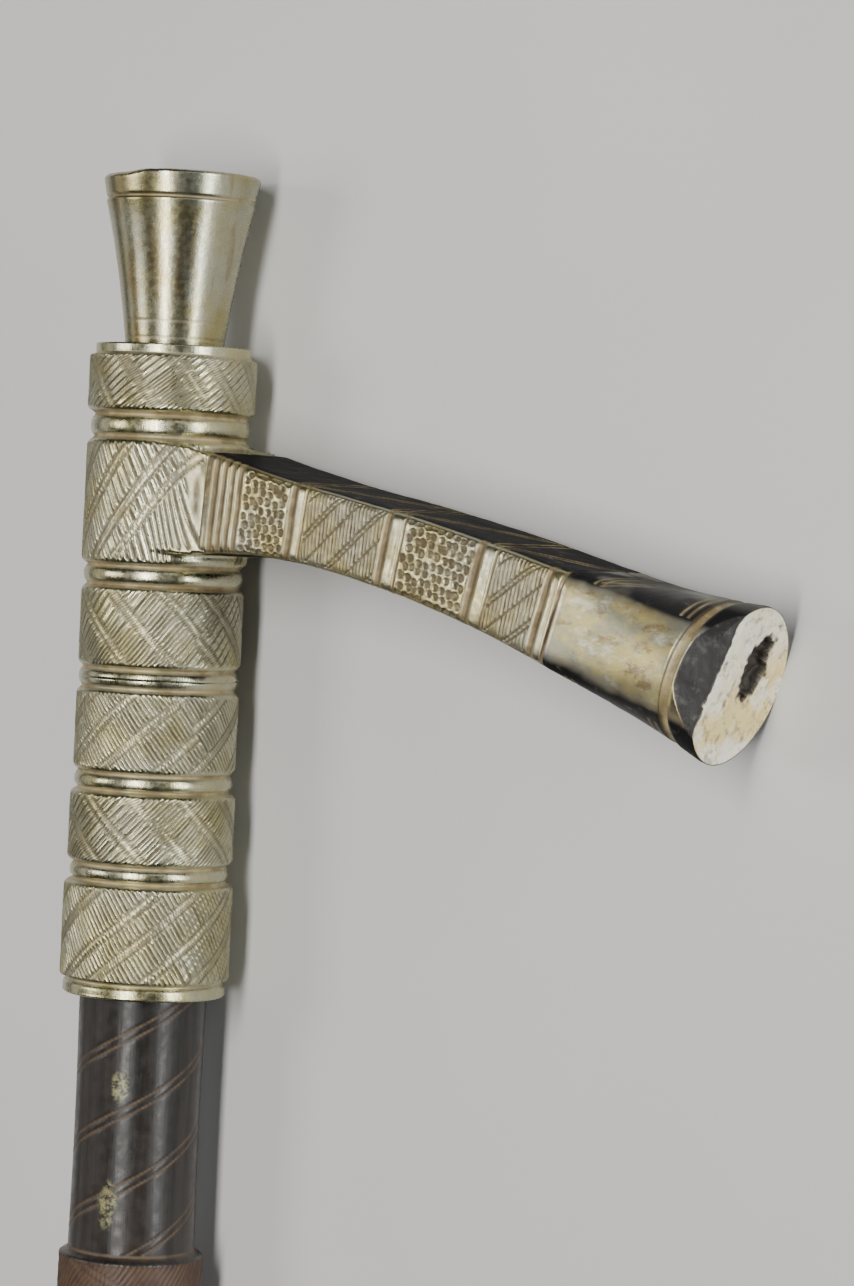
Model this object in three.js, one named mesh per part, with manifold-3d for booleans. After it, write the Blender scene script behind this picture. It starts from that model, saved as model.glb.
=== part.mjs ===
// A ceremonial mace, lying on its back: a white-metal head cast in one piece (trumpet finial, banded
// sleeve and a side arm that ends in a drum) socketed on a dark hardwood shaft.
// Millimetres, +Z up. The shaft runs along +Y with the finial at the +Y end, the arm points to +X.
import * as THREE from "three";
import Module from "manifold-3d";
import { mergeVertices } from "three/addons/utils/BufferGeometryUtils.js";

const wasm = await Module();
wasm.setup();

// Shaft and socket
const SHAFT_RADIUS = 11.9;
const SHAFT_LENGTH = 292; // from the sleeve's mouth to the butt
const SHAFT_WAIST = 0.25; // how much a plain stretch thins at its middle
const SOCKET_SHORT = 1; // the socket ends this much below the arm's band
const SOCKET_CLEARANCE = 0.3;
const GRIP_PROUD = 1.6; // a hatched grip stands this much above the plain shaft
const GRIP_EDGE = 1.1; // length of the rounded edge of a hatched grip
const UPPER_GRIP_START = 48; // distances below the mouth
const UPPER_GRIP_LENGTH = 44;
const LOWER_GRIP_START = 196;
const LOWER_GRIP_LENGTH = 38;
const BUTT_FLARE_LENGTH = 27;
const BUTT_RIM_HEIGHT = 5;

// Sleeve, from the mouth upwards: hatched bands parted by ring groups
const SLEEVE_WALL = 1.9; // at the bottom of the ring grooves
const RING_GROOVE_DEPTH = 1.05;
const RING_BEAD_PROUD = 0.75; // bead's crest above the groove's bottom
const MOUTH_RIM_HEIGHT = 2.5;
const MOUTH_GROOVE_HEIGHT = 0.5;
const BAND_HEIGHTS = [17.6, 12.4, 14.1, 13.8, 21.9, 10.1];
const BAND_PROUD = [0.65, 0.3, 0, 0, 0.25, 0.45]; // each band's radius above the slimmest band's
const BAND_LEAN = [-1, 1, -1, 1, -1, 1]; // which way the engraved channels climb
const RING_HEIGHTS = [4.5, 4.7, 5.3, 5.2, 6.2];
const RING_GROOVE_SHARES = [0.16, 0.26]; // bottom of a ring group's lower groove, as shares of its height
const RING_CREST_SHARE = 0.42; // where its bead's crest begins; the upper half mirrors the lower
const COLLAR_HEIGHT = 1.9;
const COLLAR_INSET = 1.1;

// Engraved channels on the bands
const CHANNELS_PER_BAND = 7;
const CHANNEL_WIDTH = 1.5;
const CHANNEL_DEPTH = 0.45;
const CHANNEL_SLOPE = 0.95; // sideways run for each unit of climb
const CHANNEL_STEP = 5; // longest straight stretch of a channel, up the mace
const CHANNEL_PHASE = 5; // degrees that the first channel stands off the arm

// Finial
const FINIAL_NECK_RADIUS = 9.2;
const FINIAL_FLARE_RADIUS = 13.9;
const FINIAL_RIM_RADIUS = 14.6;
const FINIAL_FLARE_HEIGHT = 26.6;
const FINIAL_GROOVE_HEIGHT = 0.9;
const FINIAL_GROOVE_DEPTH = 0.45;
const FINIAL_RIM_HEIGHT = 4.4;
const FINIAL_BEVEL = 0.7;
const FLARE_EVEN_SHARE = 0.62; // a trumpet flare widens this much evenly and the rest towards its end
const FLARE_STEPS = 4;

// Arm: the heading bends from the root droop to the end droop along the bend, then runs straight
const ARM_ROOT_DROOP = 4.6; // degrees below square to the shaft
const ARM_END_DROOP = 17.4;
const ARM_ROOT_LIFT = 1.9; // the centre line starts this much above the middle of its band
const ARM_BEND_START = 15; // distances along the arm from the shaft's axis
const ARM_BEND_END = 96;
const DRUM_START = 97;
const DRUM_END = 132.9;
const ARM_ROOT_HALF_HEIGHT = 10.2;
const ARM_SLIM_HALF_HEIGHT = 7;
const ARM_SLIM_AT = 49;
const ARM_ROOT_SWELL = 2.1; // how fast the arm grows towards its root; it is full before the sleeve
const ARM_OUTER_HALF_HEIGHT = 8.2; // where the drum begins
const ARM_ROOT_HALF_DEPTH = 11.5;
const ARM_OUTER_HALF_DEPTH = 12.8;
const ARM_BLEND_RADIUS = 22; // hollow curve that leads the arm's broad sides into the sleeve
const ARM_SQUARENESS = 12; // exponent of the rounded-square section
const ARM_RING_AT = [22, 26.4, 41, 63.7, 84.5, 99.5]; // middles of the ring groups across the arm
const ARM_RING_HALF = 2.1;
const ARM_RING_DEPTH = 0.5;
const ARM_RING_CREST_DEPTH = 0.1;
const ARM_RING_GROOVE_SHARE = 0.6; // where the grooves lie between a ring group's middle and its ends

// Drum
const DRUM_RADIUS = 14.2;
const DRUM_EVEN_SHARE = 0.72; // the arm widens this much evenly into the drum, the rest towards its end
const DRUM_RIM_LENGTH = 5.2;
const DRUM_GROOVE_LENGTH = 1.3;
const DRUM_GROOVE_DEPTH = 0.6;
const FACE_TILT = 5; // degrees that the end face turns towards the back
const WORN_FLAT_ANGLE = 45; // degrees between the worn flat on the rim and the drum's axis
const WORN_FLAT_LEAN = 14; // degrees that it leans up the mace
const WORN_FLAT_AT_FACE = 9.4; // the flat's distance from the drum's axis at the end face
const POCKET_RADII = [2.6, 4.9, 3.7]; // casting pocket: depth, height and width
const POCKET_OFFSET = [3.2, -3.8]; // on the end face, up the mace and towards the back

const REST_FLAT_DEPTH = 0.25; // worn flats that the mace lies on
const ROUND_STEPS = 30;
const SECTION_STEPS = 24;
const CURVE_STEPS = 64;
const OVERRUN = 3; // how far a cutter passes the ends that it cuts through

const HEAD_COLOUR = 0xb5ab8c;
const SHAFT_COLOUR = 0x2c231f;

const rad = THREE.MathUtils.degToRad;
const lerp = THREE.MathUtils.lerp;

// Radii that follow from the shaft, the socket and the sleeve's wall
const socketRadius = SHAFT_RADIUS + SOCKET_CLEARANCE;
const grooveRadius = socketRadius + SLEEVE_WALL;
const slimBandRadius = grooveRadius + RING_GROOVE_DEPTH;
const bandRadii = BAND_PROUD.map((proud) => slimBandRadius + proud);
const widestRadius = Math.max(...bandRadii);
const armBand = BAND_HEIGHTS.length - 2; // the arm grows from the band below the top one
const mouthRadius = slimBandRadius;

// Heights of the bands above the mouth: [bottom, top] of each
function bandSpans() {
  const spans = [];
  let bottom = MOUTH_RIM_HEIGHT + MOUTH_GROOVE_HEIGHT;
  BAND_HEIGHTS.forEach((height, i) => {
    spans.push([bottom, bottom + height]);
    bottom += height + (RING_HEIGHTS[i] ?? 0);
  });
  return spans;
}
const spans = bandSpans();
const socketDepth = spans[armBand][0] - SOCKET_SHORT;
const collarBottom = spans[spans.length - 1][1];
const finialBottom = collarBottom + COLLAR_HEIGHT;

// A closed geometry as a solid
function solidOf(geometry) {
  const bare = geometry.clone();
  bare.deleteAttribute("normal");
  bare.deleteAttribute("uv");
  const merged = mergeVertices(bare, 1e-4);
  return new wasm.Manifold(
    new wasm.Mesh({
      numProp: 3,
      vertProperties: new Float32Array(merged.attributes.position.array),
      triVerts: new Uint32Array(merged.index.array),
    }),
  );
}

// A solid as a geometry
function geometryOf(solid) {
  const mesh = solid.getMesh();
  const geometry = new THREE.BufferGeometry();
  geometry.setAttribute("position", new THREE.BufferAttribute(mesh.vertProperties, 3));
  geometry.setIndex(new THREE.BufferAttribute(mesh.triVerts, 1));
  const flat = geometry.toNonIndexed();
  flat.computeVertexNormals();
  return flat;
}

// A closed skin through sections with equal numbers of points; the first and last are capped
function loft(sections) {
  const count = sections[0].length;
  const positions = sections.flat().flatMap((p) => [p.x, p.y, p.z]);
  const index = [];
  for (let s = 0; s + 1 < sections.length; s++) {
    for (let i = 0; i < count; i++) {
      const a = s * count + i;
      const b = s * count + ((i + 1) % count);
      index.push(a, b, b + count, a, b + count, a + count);
    }
  }
  const last = (sections.length - 1) * count;
  for (let i = 1; i + 1 < count; i++) {
    index.push(0, i + 1, i, last, last + i, last + i + 1);
  }
  const geometry = new THREE.BufferGeometry();
  geometry.setAttribute("position", new THREE.Float32BufferAttribute(positions, 3));
  geometry.setIndex(index);
  return geometry;
}

// Outline of a trumpet flare between two radii, fuller towards the mouth
function flare(fromRadius, toRadius, fromHeight, toHeight) {
  const points = [];
  for (let i = 0; i <= FLARE_STEPS; i++) {
    const t = i / FLARE_STEPS;
    const widened = FLARE_EVEN_SHARE * t + (1 - FLARE_EVEN_SHARE) * t * t;
    const radius = lerp(fromRadius, toRadius, widened);
    points.push([radius, lerp(fromHeight, toHeight, t)]);
  }
  return points;
}

// Groove, bead and groove between two bands
function ringGroup(bottom, top) {
  const lower = RING_GROOVE_SHARES.map((share) => [grooveRadius, share]);
  lower.push([grooveRadius + RING_BEAD_PROUD, RING_CREST_SHARE]);
  const upper = lower.map(([radius, share]) => [radius, 1 - share]).reverse();
  return [...lower, ...upper].map(([radius, share]) => [radius, lerp(bottom, top, share)]);
}

// Half outline of sleeve and finial, from the middle of the mouth up to the middle of the top
function headOutline() {
  const points = [[0, 0], [mouthRadius, 0]];
  points.push([mouthRadius, MOUTH_RIM_HEIGHT], [grooveRadius + RING_BEAD_PROUD, MOUTH_RIM_HEIGHT]);
  spans.forEach(([bottom, top], i) => {
    points.push([bandRadii[i], bottom], [bandRadii[i], top]);
    if (i + 1 < spans.length) points.push(...ringGroup(top, spans[i + 1][0]));
  });
  const collarRadius = bandRadii[bandRadii.length - 1] - COLLAR_INSET;
  points.push([collarRadius, collarBottom], [collarRadius, finialBottom]);
  const flareTop = finialBottom + FINIAL_FLARE_HEIGHT;
  points.push(...flare(FINIAL_NECK_RADIUS, FINIAL_FLARE_RADIUS, finialBottom, flareTop));
  const rimBottom = flareTop + FINIAL_GROOVE_HEIGHT;
  const rimTop = rimBottom + FINIAL_RIM_HEIGHT;
  points.push([FINIAL_FLARE_RADIUS - FINIAL_GROOVE_DEPTH, flareTop + FINIAL_GROOVE_HEIGHT / 2]);
  points.push([FINIAL_FLARE_RADIUS, rimBottom], [FINIAL_RIM_RADIUS, rimTop - FINIAL_BEVEL]);
  points.push([FINIAL_RIM_RADIUS - FINIAL_BEVEL, rimTop], [0, rimTop]);
  return points;
}

function turned(points) {
  return new THREE.LatheGeometry(
    points.map(([radius, height]) => new THREE.Vector2(radius, height)),
    ROUND_STEPS,
  );
}

// V-shaped cutter of one engraved channel, which winds across a band
function channelCutter(band, turn) {
  const [bottom, top] = spans[band];
  const radius = bandRadii[band];
  const overrun = Math.min(...RING_HEIGHTS) * RING_GROOVE_SHARES[1]; // stays within the ring grooves
  const steps = Math.ceil((top - bottom) / CHANNEL_STEP);
  const sections = [];
  for (let i = 0; i <= steps; i++) {
    const height = lerp(bottom - overrun, top + overrun, i / steps);
    const lean = (BAND_LEAN[band] * CHANNEL_SLOPE * (height - (bottom + top) / 2)) / radius;
    const halfAngle = (CHANNEL_WIDTH * Math.hypot(1, CHANNEL_SLOPE)) / 2 / radius;
    const outerAngle = halfAngle * (1 + overrun / CHANNEL_DEPTH);
    const corner = (angle, r) =>
      new THREE.Vector3(Math.cos(turn + lean + angle) * r, height, Math.sin(turn + lean + angle) * r);
    sections.push([
      corner(0, radius - CHANNEL_DEPTH),
      corner(outerAngle, radius + overrun),
      corner(0, radius + overrun),
      corner(-outerAngle, radius + overrun),
    ]);
  }
  return solidOf(loft(sections));
}

function channelCutters() {
  const cutters = [];
  spans.forEach((_, band) => {
    for (let i = 0; i < CHANNELS_PER_BAND; i++) {
      const turn = rad(CHANNEL_PHASE + (360 * (i + band / 2)) / CHANNELS_PER_BAND);
      cutters.push(channelCutter(band, turn));
    }
  });
  return cutters;
}

// Droop of the arm's heading, in radians, at a distance along it
function armHeading(along) {
  const bend = THREE.MathUtils.clamp((along - ARM_BEND_START) / (ARM_BEND_END - ARM_BEND_START), 0, 1);
  return rad(lerp(ARM_ROOT_DROOP, ARM_END_DROOP, bend));
}

// Point on the arm's centre line: straight to the bend, then integrated along its even curvature
function armCentre(along) {
  const point = new THREE.Vector2(0, (spans[armBand][0] + spans[armBand][1]) / 2 + ARM_ROOT_LIFT);
  for (let i = 0; i < CURVE_STEPS; i++) {
    const heading = armHeading(((i + 0.5) / CURVE_STEPS) * along);
    point.x += (Math.cos(heading) * along) / CURVE_STEPS;
    point.y -= (Math.sin(heading) * along) / CURVE_STEPS;
  }
  return point;
}

// Where the hollow curve between sleeve and arm runs out on the arm's broad side
function armBlendEnd() {
  return Math.sqrt(
    (bandRadii[armBand] + ARM_BLEND_RADIUS) ** 2 - (ARM_ROOT_HALF_DEPTH + ARM_BLEND_RADIUS) ** 2,
  );
}

// Where it leaves the sleeve
function armBlendStart() {
  return (armBlendEnd() * bandRadii[armBand]) / (bandRadii[armBand] + ARM_BLEND_RADIUS);
}

// Half height and half depth of the arm's section, and its squareness
function armSize(along) {
  const toDrum = THREE.MathUtils.clamp((along - DRUM_START) / (DRUM_END - DRUM_START), 0, 1);
  const flared = DRUM_EVEN_SHARE * toDrum + (1 - DRUM_EVEN_SHARE) * toDrum * toDrum;
  let height;
  if (along < ARM_SLIM_AT) {
    const t = THREE.MathUtils.clamp(1 - along / ARM_SLIM_AT, 0, 1);
    height = lerp(ARM_SLIM_HALF_HEIGHT, ARM_ROOT_HALF_HEIGHT, Math.min(1, ARM_ROOT_SWELL * t * t));
  } else if (along < DRUM_START) {
    const t = (along - ARM_SLIM_AT) / (DRUM_START - ARM_SLIM_AT);
    height = lerp(ARM_SLIM_HALF_HEIGHT, ARM_OUTER_HALF_HEIGHT, t * t);
  } else {
    height = lerp(ARM_OUTER_HALF_HEIGHT, DRUM_RADIUS, flared);
  }
  const toOuter = Math.min(along / DRUM_START, 1);
  const toBlend = Math.max(armBlendEnd() - along, 0);
  const blend = ARM_BLEND_RADIUS - Math.sqrt(ARM_BLEND_RADIUS ** 2 - toBlend ** 2);
  const depth = lerp(lerp(ARM_ROOT_HALF_DEPTH, ARM_OUTER_HALF_DEPTH, toOuter) + blend, DRUM_RADIUS, flared);
  const squareness = 2 * (ARM_SQUARENESS / 2) ** ((1 - toDrum) ** 2);
  return { height, depth, squareness };
}

// Section of the arm, square to its heading, drawn in by an inset
function armSection(along, inset) {
  const { height, depth, squareness } = armSize(along);
  const centre = armCentre(along);
  const heading = armHeading(along);
  const points = [];
  for (let i = 0; i < SECTION_STEPS; i++) {
    const angle = (i / SECTION_STEPS) * 2 * Math.PI;
    const round = (value) => Math.sign(value) * Math.abs(value) ** (2 / squareness);
    const up = (height - inset) * round(Math.sin(angle));
    const out = (depth - inset) * round(Math.cos(angle));
    points.push(
      new THREE.Vector3(centre.x + Math.sin(heading) * up, centre.y + Math.cos(heading) * up, out),
    );
  }
  return points.reverse();
}

// Distances along the arm and insets that draw its ring groups, its flare and the drum's groove
function armStations() {
  const stations = [[armBlendStart(), 2 * CHANNEL_DEPTH], [(armBlendStart() + armBlendEnd()) / 2, 0]];
  ARM_RING_AT.forEach((middle) => {
    const groove = ARM_RING_HALF * ARM_RING_GROOVE_SHARE;
    stations.push([middle - ARM_RING_HALF, 0], [middle - groove, ARM_RING_DEPTH]);
    stations.push([middle, ARM_RING_CREST_DEPTH]);
    stations.push([middle + groove, ARM_RING_DEPTH], [middle + ARM_RING_HALF, 0]);
  });
  stations.push([(armBlendEnd() + ARM_RING_AT[2]) / 2, 0], [(ARM_RING_AT[2] + ARM_RING_AT[3]) / 2, 0]);
  const grooveEnd = DRUM_END - DRUM_RIM_LENGTH;
  const grooveStart = grooveEnd - DRUM_GROOVE_LENGTH;
  const flareStart = ARM_RING_AT[ARM_RING_AT.length - 1] + ARM_RING_HALF;
  [0.25, 0.5, 0.75].forEach((share) => stations.push([lerp(flareStart, grooveStart, share), 0]));
  stations.push([grooveStart, 0], [(grooveStart + grooveEnd) / 2, DRUM_GROOVE_DEPTH], [grooveEnd, 0]);
  stations.push([DRUM_END + OVERRUN, 0]);
  return stations.sort((a, b) => a[0] - b[0]);
}

// Turns a cutter drawn at the drum's end, +X out of the end face, into place
function atDrumEnd(geometry) {
  const centre = armCentre(DRUM_END);
  return geometry.rotateZ(-armHeading(DRUM_END)).translate(centre.x, centre.y, 0);
}

function armSolid() {
  const arm = solidOf(loft(armStations().map(([along, inset]) => armSection(along, inset))));
  const size = 4 * DRUM_RADIUS;
  const beyond = new THREE.BoxGeometry(size, size, size).translate(size / 2, 0, 0).rotateY(rad(FACE_TILT));
  const wornFlat = new THREE.BoxGeometry(size, size, size)
    .translate(0, 0, size / 2)
    .rotateY(rad(WORN_FLAT_ANGLE))
    .translate(0, 0, WORN_FLAT_AT_FACE)
    .rotateX(-rad(WORN_FLAT_LEAN));
  const pocket = new THREE.IcosahedronGeometry(1, 1)
    .scale(...POCKET_RADII)
    .translate(0, ...POCKET_OFFSET);
  return [beyond, wornFlat, pocket].reduce(
    (solid, cutter) => solid.subtract(solidOf(atDrumEnd(cutter))),
    arm,
  );
}

// The mace lies on the widest band, the butt and the drum: the turn about the shaft that lets the
// drum down onto the same plane as the widest band
function restTurn() {
  const centre = armCentre(DRUM_END - DRUM_RIM_LENGTH / 2);
  const { depth } = armSize(DRUM_END - DRUM_RIM_LENGTH / 2);
  return Math.asin(widestRadius / Math.hypot(centre.x, depth)) - Math.atan2(depth, centre.x);
}

// Cutter below the plane that the mace rests on, in the mace's own frame
function belowRest() {
  const size = 2 * (SHAFT_LENGTH + DRUM_END);
  return solidOf(
    new THREE.BoxGeometry(size, size, size)
      .translate(0, 0, -size / 2 - widestRadius + REST_FLAT_DEPTH)
      .rotateY(-restTurn()),
  );
}

// Bore that takes the shaft, from below the mouth to the socket's end
function socketCutter() {
  const length = socketDepth + OVERRUN;
  return solidOf(
    new THREE.CylinderGeometry(socketRadius, socketRadius, length, ROUND_STEPS).translate(
      0,
      socketDepth - length / 2,
      0,
    ),
  );
}

function headSolid() {
  const engraved = solidOf(turned(headOutline())).subtract(wasm.Manifold.union(channelCutters()));
  return engraved.add(armSolid()).subtract(socketCutter()).subtract(belowRest());
}

// Half outline of the shaft, from the butt up to the end of its tenon in the socket
function shaftOutline() {
  const plain = (fromHeight, toHeight) => {
    const middle = (fromHeight + toHeight) / 2;
    return [[SHAFT_RADIUS, fromHeight], [SHAFT_RADIUS - SHAFT_WAIST, middle], [SHAFT_RADIUS, toHeight]];
  };
  const grip = (top, length) => [
    [SHAFT_RADIUS + GRIP_PROUD, top - length + GRIP_EDGE],
    [SHAFT_RADIUS + GRIP_PROUD, top - GRIP_EDGE],
  ];
  const butt = -SHAFT_LENGTH;
  const flareTop = butt + BUTT_RIM_HEIGHT + BUTT_FLARE_LENGTH;
  const rimRadius = widestRadius;
  const points = [[0, butt], [rimRadius - FINIAL_BEVEL, butt], [rimRadius, butt + FINIAL_BEVEL]];
  points.push([rimRadius - FINIAL_BEVEL / 2, butt + BUTT_RIM_HEIGHT - FINIAL_GROOVE_HEIGHT]);
  const grooveFloor = rimRadius - FINIAL_BEVEL - FINIAL_GROOVE_DEPTH;
  points.push([grooveFloor, butt + BUTT_RIM_HEIGHT - FINIAL_GROOVE_HEIGHT / 2]);
  const flaring = flare(SHAFT_RADIUS, rimRadius - FINIAL_BEVEL, flareTop, butt + BUTT_RIM_HEIGHT);
  points.push(...flaring.reverse());
  points.push(...plain(flareTop, -LOWER_GRIP_START - LOWER_GRIP_LENGTH).slice(1));
  points.push(...grip(-LOWER_GRIP_START, LOWER_GRIP_LENGTH));
  points.push(...plain(-LOWER_GRIP_START, -UPPER_GRIP_START - UPPER_GRIP_LENGTH));
  points.push(...grip(-UPPER_GRIP_START, UPPER_GRIP_LENGTH));
  points.push(...plain(-UPPER_GRIP_START, 0));
  const tenonEnd = socketDepth - SOCKET_CLEARANCE;
  points.push([SHAFT_RADIUS, tenonEnd], [0, tenonEnd]);
  return points;
}

function shaftSolid() {
  return solidOf(turned(shaftOutline())).subtract(belowRest());
}

function meshOf(name, solid, colour, roughness, metalness) {
  const material = new THREE.MeshStandardMaterial({ color: colour, roughness, metalness });
  const mesh = new THREE.Mesh(geometryOf(solid), material);
  mesh.name = name;
  return mesh;
}

const mace = new THREE.Group();
mace.add(meshOf("mace_head", headSolid(), HEAD_COLOUR, 0.35, 1));
mace.add(meshOf("shaft", shaftSolid(), SHAFT_COLOUR, 0.4, 0));
mace.rotation.y = restTurn();

// Origin at the middle of the footprint, on the plane that the mace lies on
const bounds = new THREE.Box3().setFromObject(mace, true);
const middle = bounds.getCenter(new THREE.Vector3());
mace.position.set(-middle.x, -middle.y, -bounds.min.z);

export default mace;
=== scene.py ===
"""Looks of a ceremonial mace: an engraved white-metal head on a dark hardwood shaft, lying on its side."""

import math

import bpy
import numpy as np
from mathutils import Matrix, Vector


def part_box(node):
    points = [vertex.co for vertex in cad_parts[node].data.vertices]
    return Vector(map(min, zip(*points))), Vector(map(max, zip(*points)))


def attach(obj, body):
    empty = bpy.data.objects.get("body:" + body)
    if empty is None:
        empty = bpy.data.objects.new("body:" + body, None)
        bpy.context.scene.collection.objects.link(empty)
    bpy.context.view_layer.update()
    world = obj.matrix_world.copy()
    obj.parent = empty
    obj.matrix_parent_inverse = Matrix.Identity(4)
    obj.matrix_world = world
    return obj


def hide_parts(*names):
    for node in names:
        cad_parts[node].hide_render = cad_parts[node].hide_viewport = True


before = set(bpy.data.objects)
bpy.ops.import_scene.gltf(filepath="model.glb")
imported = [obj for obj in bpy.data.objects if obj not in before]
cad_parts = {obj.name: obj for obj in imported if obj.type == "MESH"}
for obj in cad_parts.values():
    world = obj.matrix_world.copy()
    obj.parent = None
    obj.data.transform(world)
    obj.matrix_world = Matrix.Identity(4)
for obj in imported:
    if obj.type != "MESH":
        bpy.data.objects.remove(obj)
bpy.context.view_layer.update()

MM = 0.001
TURN = 2 * math.pi

# The mace's sizes in millimetres. s runs out along the arm, v up the mace from the sleeve's mouth and
# n square to both, towards the side that the camera sees.
SHAFT_RADIUS = 11.9
SHAFT_LENGTH = 292
SHAFT_WAIST = 0.25
SOCKET_CLEARANCE = 0.3
GRIP_PROUD = 1.6
GRIP_EDGE = 1.1
GRIPS = [(-48, 44), (-196, 38)]  # top and length
BUTT_FLARE_LENGTH = 27
BUTT_RIM_HEIGHT = 5

SLIM_BAND_RADIUS = 15.15
GROOVE_RADIUS = 14.1
BEAD_RADIUS = 14.85
MOUTH_RIM_HEIGHT = 2.5
MOUTH_GROOVE_HEIGHT = 0.5
BAND_HEIGHTS = [17.6, 12.4, 14.1, 13.8, 21.9, 10.1]
BAND_PROUD = [0.65, 0.3, 0, 0, 0.25, 0.45]
BAND_LEAN = [1, -1, 1, -1, 1, -1]  # 1 where the double lines climb to the right, seen from outside
RING_HEIGHTS = [4.5, 4.7, 5.3, 5.2, 6.2]
ARM_BAND = 4
COLLAR_HEIGHT = 1.9
COLLAR_INSET = 1.1

FINIAL_NECK_RADIUS = 9.2
FINIAL_FLARE_RADIUS = 13.9
FINIAL_RIM_RADIUS = 14.6
FINIAL_FLARE_HEIGHT = 26.6
FINIAL_GROOVE_HEIGHT = 0.9
FINIAL_GROOVE_DEPTH = 0.45
FINIAL_RIM_HEIGHT = 4.4
FINIAL_BEVEL = 0.7

ARM_ROOT_DROOP = math.radians(4.6)
ARM_END_DROOP = math.radians(17.4)
ARM_ROOT_LIFT = 1.9
ARM_BEND_START = 15
ARM_BEND_END = 96
DRUM_START = 97
DRUM_END = 132.9
ARM_ROOT_HALF_HEIGHT = 10.2
ARM_SLIM_HALF_HEIGHT = 7
ARM_SLIM_AT = 49
ARM_OUTER_HALF_HEIGHT = 8.2
ARM_ROOT_HALF_DEPTH = 11.5
ARM_OUTER_HALF_DEPTH = 12.8
ARM_BLEND_RADIUS = 22
ARM_SQUARENESS = 12
DRUM_RADIUS = 14.2
DRUM_RIM_LENGTH = 5.2
FACE_TILT = math.radians(5)
WORN_FLAT_ANGLE = math.radians(45)
WORN_FLAT_LEAN = math.radians(14)
WORN_FLAT_AT_FACE = 9.4
POCKET_RADII = [2.6, 4.9, 3.7]
POCKET_OFFSET = [3.2, -3.8]

# Engraving
PAIRS_PER_BAND = [10, 10, 10, 10, 12, 11]
PAIR_SLOPES = [1.2, 1.1, 1.17, 1.0, 0.75, 0.8]  # sideways run for each unit of climb
PAIR_TURNS = [48, 41, 60, 62.5, 77, 75]  # degrees from the arm to one double line of each band
PAIR_SHIFTS = [{-1: 2.2}, {}, {0: 0.6, 1: 2.2}, {1: 0.9}, {}, {0: 0.8, 1: 2.4}]  # of some, by number
PAIR_HALF_GAP = 0.78  # from a double line's middle to each of its two lines
PAIR_LINE_WIDTH = 0.4
PAIR_LINE_DEPTH = 0.38
CROSSED_UNTIL = {0: 30, 3: 40, 5: 24}  # bands with crossed strokes, and how many degrees round they go
FAN_SHIFT = 3.0  # how much nearer the last double line before the arm lies to the one before it
NOTCH_PITCH = 0.85
NOTCH_DEPTH = 0.1
HATCH_PER_TURN = 96
HATCH_SLOPES = [0.65, 0.95, 0.75, 0.8, 0.5, 1.3]
HATCH_DEPTH = 0.26
CROSSED_SLOPE = 0.8
CROSSED_PITCH = 1.75
FAN_PITCH = 1.5

# Cross grooves on the arm's broad sides: middle, half width, depth
ARM_GROOVES = [
    (21.6, 1.1, 0.5), (23.6, 0.9, 0.45), (25.6, 0.85, 0.4), (27.4, 0.95, 0.5),
    (40.4, 1.15, 0.5), (43.3, 0.4, 0.3),
    (62.4, 1.15, 0.5), (66.1, 0.4, 0.3),
    (83.0, 1.35, 0.5), (86.6, 0.4, 0.3),
    (98.3, 1.15, 0.5), (101.1, 0.6, 0.4),
]
PUNCHED_PANELS = [(28.6, 38.9), (66.8, 81.6)]
HATCHED_PANELS = [(43.9, 61.2), (87.2, 97.2)]
ROOT_STRIP_END = 20.7
ARM_HATCH_PITCH = 0.78
ARM_HATCH_LEAN = 0.1
ARM_HATCH_DEPTH = 0.26
DIAGONAL_STEP = 4.9
DIAGONAL_RUN = 11.0
DIAGONAL_DEPTH = 0.36
NARROW_LINE_DEPTH = 0.16
RING_PITCH = 1.5
RING_RADIUS = 0.6
RING_WIDTH = 0.22
RING_DEPTH = 0.26
TOP_PAIRS = [41, 62, 85, 107, 124.3]  # double lines across the arm's narrow top
FACE_PITS = [(-3.2, 3.4, 0.75), (-9.6, 1.5, 0.6), (-8.8, -1.0, 0.5)]  # up, out and size of the large ones

# Double lines wound round the shaft: how many start, rise of a turn, gap and half width
SHAFT_LINES = (3, 42.0, 1.5, 0.34)
SHAFT_LINE_DEPTH = 0.13
GRIP_LINES = (2, 40.0, 1.6, 0.45)
GRIP_HATCH_DEPTH = 0.38
STAINS = [(65, -16, 9, 3.2), (72, -38, 10, 5.5)]  # yellow-green blotches: turn, height and half sizes

# Meshes: where they meet, and how fine they are
ARM_MESH_START = 18.2
ARM_SEAM = 101.1
SHAFT_SEAM = -101.0
COLUMNS_PER_HATCH = 6
ROW_STEP = 0.36
FINIAL_ROWS = 130
FINIAL_COLUMNS = 240
ARM_ROWS = 416
ARM_COLUMNS = (88, 36, 64, 36)  # on the front, top, back and bottom
DRUM_SIDE_ROWS = 96
DRUM_RIM_ROWS = 15
DRUM_FACE_ROWS = 60
DRUM_COLUMNS = (72, 60, 64, 60)
SHAFT_UPPER_GRID = (0.42, 264)  # step between rows, and columns
SHAFT_LOWER_GRID = (0.8, 208)

# Camera, solved from the photograph: millimetres from the middle of the sleeve's mouth, along
# (right, up the mace, towards the viewer) of a level view of the shaft
VIEW_TURN = math.radians(38)  # how far the arm points out of the picture
CAMERA_AT = (48.63, 89.69, 722.79)
CAMERA_RIGHT = (0.99872, 0.05057, 0.0)
CAMERA_DOWN = (0.05055, -0.99827, 0.02999)
CAMERA_LENS = 108.45
LIT_AT = (-0.02, 0.14, 0.02)  # where the lights point to, in metres

band_radii = [SLIM_BAND_RADIUS + proud for proud in BAND_PROUD]
widest_radius = max(band_radii)
face_radius = DRUM_RADIUS - 0.1


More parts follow.
